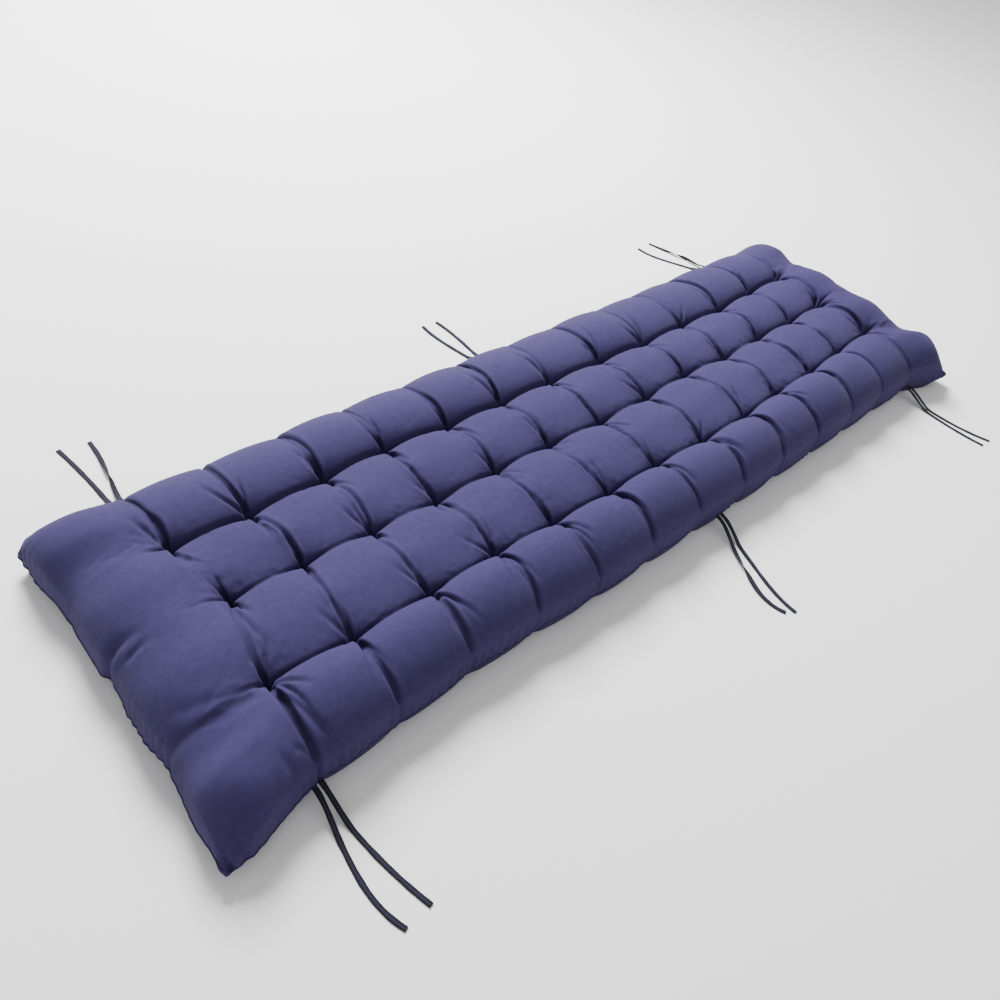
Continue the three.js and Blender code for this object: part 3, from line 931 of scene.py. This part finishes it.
def grow(name, points, tree, edges=(), **values):
    """A plain mesh of what the tree makes from the points, with its modifier gone."""
    seed = bpy.data.meshes.new(name + "_points")
    seed.from_pydata([tuple(p) for p in points], list(edges), [])
    carrier = bpy.data.objects.new(name + "_carrier", seed)
    scene.collection.objects.link(carrier)
    modifier = carrier.modifiers.new("grow", "NODES")
    modifier.node_group = tree
    sockets = {item.name: item.identifier for item in tree.interface.items_tree if item.in_out == "INPUT"}
    for label, value in values.items():
        modifier[sockets[label.replace("_", " ")]] = value
    evaluated = carrier.evaluated_get(bpy.context.evaluated_depsgraph_get())
    mesh = bpy.data.meshes.new_from_object(evaluated)
    mesh.name = name
    grown = bpy.data.objects.new(name, mesh)
    scene.collection.objects.link(grown)
    bpy.data.objects.remove(carrier)
    bpy.data.meshes.remove(seed)
    return grown


fine_steps = 2 * CELL_STEPS
top_tufts = top_fine[fine_steps:-1:fine_steps, fine_steps:-1:fine_steps].reshape(-1, 3)
top_tufts = top_tufts + (0, 0, THREAD_LIFT)
tuft_threads = grow("tuft_threads", top_tufts.tolist(), tuft_tree(), Seed=5)
print("tuft threads:", len(tuft_threads.data.polygons), "faces on", len(top_tufts), "tufts")

# %% [markdown]
# The cloth is a plain weave, brushed soft, so from a step away it is a fine even grain.
# The same weave shows on the cover and on the tapes, so it is one group of shader nodes:
# it takes the map of the cloth and the threads per metre, and gives back a height and a tone.

# %% Weave group
def weave_group():
    """Two sets of crossing threads, with thick and thin places, as a height and a tone."""
    group = bpy.data.node_groups.new("plain_weave", "ShaderNodeTree")
    for label, way, kind in (("Map", "INPUT", "Vector"), ("Threads per metre", "INPUT", "Float"),
                             ("Height", "OUTPUT", "Float"), ("Tone", "OUTPUT", "Float")):
        group.interface.new_socket(label, in_out=way, socket_type="NodeSocket" + kind)
    given = group.nodes.new("NodeGroupInput").outputs
    way_out = group.nodes.new("NodeGroupOutput").inputs
    split = put(group, "ShaderNodeSeparateXYZ", {0: given["Map"]})
    ribs, slubs = [], []
    for axis, stretch in (("X", (60, 2400, 1)), ("Y", (2400, 60, 1))):
        turns = math_node(group, "MULTIPLY", split.outputs[axis], given["Threads per metre"])
        ribs.append(math_node(group, "SINE", math_node(group, "MULTIPLY", turns, math.pi)))
        drawn = put(group, "ShaderNodeMapping", {"Vector": given["Map"], "Scale": stretch})
        slubs.append(put(group, "ShaderNodeTexNoise", {"Vector": drawn, "Scale": 1, "Detail": 2}))
    feed(group, way_out["Height"], math_node(group, "MULTIPLY", *ribs))
    feed(group, way_out["Tone"], math_node(group, "MULTIPLY", math_node(group, "ADD", *slubs), 0.5))
    return group


WEAVE = weave_group()
print("weave group has", len(WEAVE.nodes), "nodes")

# %% [markdown]
# Cover cloth: deep indigo, brushed matt, with a weak sheen where light grazes its nap.
# Its colour wanders a little over the whole piece, each thread differs from the next,
# the raised places are a trace paler, as rubbed wear and painted light, and the bottoms of the creases get
# painted shade.

# %% Cover cloth
COVER_THREADS, TAPE_THREADS = 1500, 1700
# DARK_INDIGO darkens the threads here and there, and is also the painted shade in the hollows.
DARK_INDIGO = (0.022, 0.0172, 0.060, 1)
INDIGO = (0.0318, 0.0245, 0.083, 1)
WARMER_INDIGO = (0.0375, 0.0285, 0.093, 1)
# The pale indigo below is the brushed nap, and also painted light on the raised places.
RUBBED_AND_LIT_INDIGO = (0.054, 0.040, 0.130, 1)


def spread(tree, value, low, high):
    """The value stretched so that low becomes 0 and high becomes 1."""
    feeds = {"Value": value, "From Min": low, "From Max": high}
    return put(tree, "ShaderNodeMapRange", feeds).outputs["Result"]


def noise(tree, vector, scale, detail=3.0, roughness=0.5):
    """Soft random blotches from 0 to 1, of about one metre divided by the scale."""
    feeds = {"Vector": vector, "Scale": scale, "Detail": detail, "Roughness": roughness}
    return put(tree, "ShaderNodeTexNoise", feeds).outputs["Fac"]


def bumped(tree, height, distance, strength, under=None):
    """A normal bent by a height. Bumps are stacked by giving one as the next one's base."""
    feeds = {"Height": height, "Distance": distance, "Strength": strength}
    if under is not None:
        feeds["Normal"] = under
    return put(tree, "ShaderNodeBump", feeds).outputs["Normal"]


def weave_of(tree, threads):
    """The cloth's own map, and the height and the tone of the weave on it."""
    cloth_map = put(tree, "ShaderNodeUVMap", uv_map="cloth")
    node = put(tree, "ShaderNodeGroup", node_tree=WEAVE)
    feed(tree, node.inputs["Map"], cloth_map)
    feed(tree, node.inputs["Threads per metre"], threads)
    return cloth_map, node.outputs["Height"], node.outputs["Tone"]


def cover_cloth():
    """Brushed indigo cotton: wandering colour, nap, heights paler as wear and painted light, painted shade
    in hollows.
    """
    material, tree, shader = new_finish("brushed_cotton", {
        "Roughness": 0.92, "Specular IOR Level": 0.18, "Sheen Weight": 0.03, "Sheen Roughness": 0.55,
        "Sheen Tint": (0.62, 0.62, 0.85, 1)})
    place = put(tree, "ShaderNodeTexCoord").outputs["Object"]
    _, height, tone = weave_of(tree, COVER_THREADS)
    relief = put(tree, "ShaderNodeAttribute", attribute_name="relief_for_wear_and_shade").outputs["Fac"]
    wide = spread(tree, noise(tree, place, 5.5, 4.0, 0.55), 0.36, 0.66)
    nap = spread(tree, noise(tree, place, 120, 5.0, 0.72), 0.34, 0.68)
    colour = blend(tree, wide, INDIGO, WARMER_INDIGO)
    # The last two blends paint the raised places paler, as wear and painted light, and paint shade into the
    # hollows.
    for factor, other, amount in (
            (spread(tree, tone, 0.62, 0.40), DARK_INDIGO, 0.55), (nap, RUBBED_AND_LIT_INDIGO, 0.3),
            (spread(tree, relief, 0.1, 1.0), RUBBED_AND_LIT_INDIGO, 0.03),
            (spread(tree, relief, -0.1, -1.0), DARK_INDIGO, 0.45)):
        colour = blend(tree, factor, colour, other, amount)
    feed(tree, shader["Base Color"], colour)
    fuzz = bumped(tree, noise(tree, place, 700, 3.0, 0.7), 0.0004, 0.4)
    feed(tree, shader["Normal"], bumped(tree, height, 0.00022, 0.35, fuzz))
    return material


COVER_CLOTH = cover_cloth()
cushion.data.materials.append(COVER_CLOTH)
print("cover cloth has", len(COVER_CLOTH.node_tree.nodes), "nodes")

# %% [markdown]
# Where the two faces are sewn together, the gathered seam stands out as a thin uneven lip.
# It follows the outline, so it is also made by Geometry Nodes: the seam points become a curve,
# a little noise makes it uneven, and a small oval is drawn along it, in the same cotton.

# %% Seam lip with Geometry Nodes
LIP_THICKNESS, LIP_WAVER, LIP_POINTS = 2.4 * MM, 0.7 * MM, 1500


def seam_tree(material):
    """A closed line of points in; an uneven lip of cloth along it out."""
    tree, way_in, way_out = node_tree("seam_lip", [
        ("Lip thickness", "NodeSocketFloat", LIP_THICKNESS), ("Waver", "NodeSocketFloat", LIP_WAVER)])
    given = way_in.outputs
    line = put(tree, "GeometryNodeMeshToCurve", {"Mesh": given["Geometry"]})
    even = put(tree, "GeometryNodeResampleCurve", {"Curve": line, "Count": LIP_POINTS})
    uneven = put(tree, "ShaderNodeTexNoise", {"Scale": 90, "Detail": 1})
    middle = put(tree, "ShaderNodeVectorMath", {0: uneven.outputs["Color"], 1: (0.5, 0.5, 0.5)},
                 operation="SUBTRACT")
    much = put(tree, "ShaderNodeVectorMath", {0: middle, "Scale": given["Waver"]}, operation="SCALE")
    shift = put(tree, "GeometryNodeSetPosition", {"Geometry": even, "Offset": much})
    oval = put(tree, "GeometryNodeCurvePrimitiveCircle",
               {"Radius": math_node(tree, "MULTIPLY", given["Lip thickness"], 0.5), "Resolution": 8})
    lip = put(tree, "GeometryNodeCurveToMesh", {"Curve": shift, "Profile Curve": oval})
    end_tree(tree, lip, material, way_out)
    return tree


rim_points = np.vstack([top_fine[:-1, 0], top_fine[-1, :-1], top_fine[:0:-1, -1], top_fine[0, :0:-1]])
rim_edges = [(k, (k + 1) % len(rim_points)) for k in range(len(rim_points))]
seam_lip = grow("seam_lip", rim_points.tolist(), seam_tree(COVER_CLOTH), rim_edges)
print("seam lip:", len(seam_lip.data.polygons), "faces")

# %% [markdown]
# The tapes are the same cotton, dyed nearly black and just as matt.
# The middle of each tape is a little greyer than its edges, which the UV map gives: painted highlight and
# shade.

# %% Tape finish
TAPE_EDGE, TAPE_MIDDLE = (0.006, 0.006, 0.013, 1), (0.028, 0.029, 0.052, 1)
TAPE_GAPS, TAPE_DUSTY = (0.003, 0.003, 0.007, 1), (0.016, 0.016, 0.028, 1)


def tape_cloth():
    """Near-black cotton, with a painted highlight along the middle of the tape and painted shade at its
    edges.
    """
    material, tree, shader = new_finish("tape_cotton", {
        "Roughness": 0.85, "Specular IOR Level": 0.15, "Sheen Weight": 0.05})
    place = put(tree, "ShaderNodeTexCoord").outputs["Object"]
    cloth_map, height, tone = weave_of(tree, TAPE_THREADS)
    across = put(tree, "ShaderNodeSeparateXYZ", {0: cloth_map})
    # Painted shade at the folded edges of the tape, and a painted highlight along its middle.
    middle = spread(tree, math_node(tree, "ABSOLUTE", across), 0.0021, 0.0008)
    colour = blend(tree, middle, TAPE_EDGE, TAPE_MIDDLE)
    colour = blend(tree, spread(tree, tone, 0.62, 0.4), colour, TAPE_GAPS, 0.5)
    patches = spread(tree, noise(tree, place, 45), 0.35, 0.7)
    feed(tree, shader["Base Color"], blend(tree, patches, colour, TAPE_DUSTY, 0.35))
    soft = bumped(tree, noise(tree, place, 420, 3.0, 0.6), 0.0003, 0.5)
    feed(tree, shader["Normal"], bumped(tree, height, 0.0002, 0.5, soft))
    return material


TAPE_CLOTH = tape_cloth()
for piece in ties:
    piece.data.materials.append(TAPE_CLOTH)
print("tape finish has", len(TAPE_CLOTH.node_tree.nodes), "nodes")

# %% [markdown]
# The photograph was taken on plain white, so floor and surroundings are a pale even white.
# One wide soft lamp high behind the cushion models the puffs, and leaves the near side darker.

# %% Floor and light
FLOOR_REACH, WORLD_STRENGTH = 6, 0.68
LAMP_PLACE, LAMP_SIZE, LAMP_POWER = Vector((0.6, 2.2, 2.3)), 1.3, 350
floor_points = FLOOR_REACH * np.array([(-1, -1, 0), (1, -1, 0), (1, 1, 0), (-1, 1, 0)], float)
floor = mesh_object("floor", floor_points, [(0, 1, 2, 3)])
pale, _, _ = new_finish("pale_floor", {"Base Color": (0.9, 0.9, 0.9, 1), "Roughness": 0.9})
floor.data.materials.append(pale)
lamp = bpy.data.lights.new("back_lamp", "AREA")
lamp.size = LAMP_SIZE
lamp.energy = LAMP_POWER
back_lamp = bpy.data.objects.new("back_lamp", lamp)
scene.collection.objects.link(back_lamp)
aim = (-LAMP_PLACE).to_track_quat("-Z", "Y").to_matrix().to_4x4()
back_lamp.matrix_world = Matrix.Translation(LAMP_PLACE) @ aim
world = bpy.data.worlds.new("studio")
world.use_nodes = True
surroundings = world.node_tree.nodes["Background"].inputs
surroundings["Color"].default_value = (1, 1, 1, 1)
surroundings["Strength"].default_value = WORLD_STRENGTH
scene.world = world
print("a white floor, and one lamp of", LAMP_POWER, "watts")

# %% [markdown]
# The cushion has no moving part, so every piece rides on the one body.

# %% Bodies
for piece in (cushion, seam_lip, tuft_threads):
    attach(piece, "root")
for piece in ties:
    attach(piece, "root")
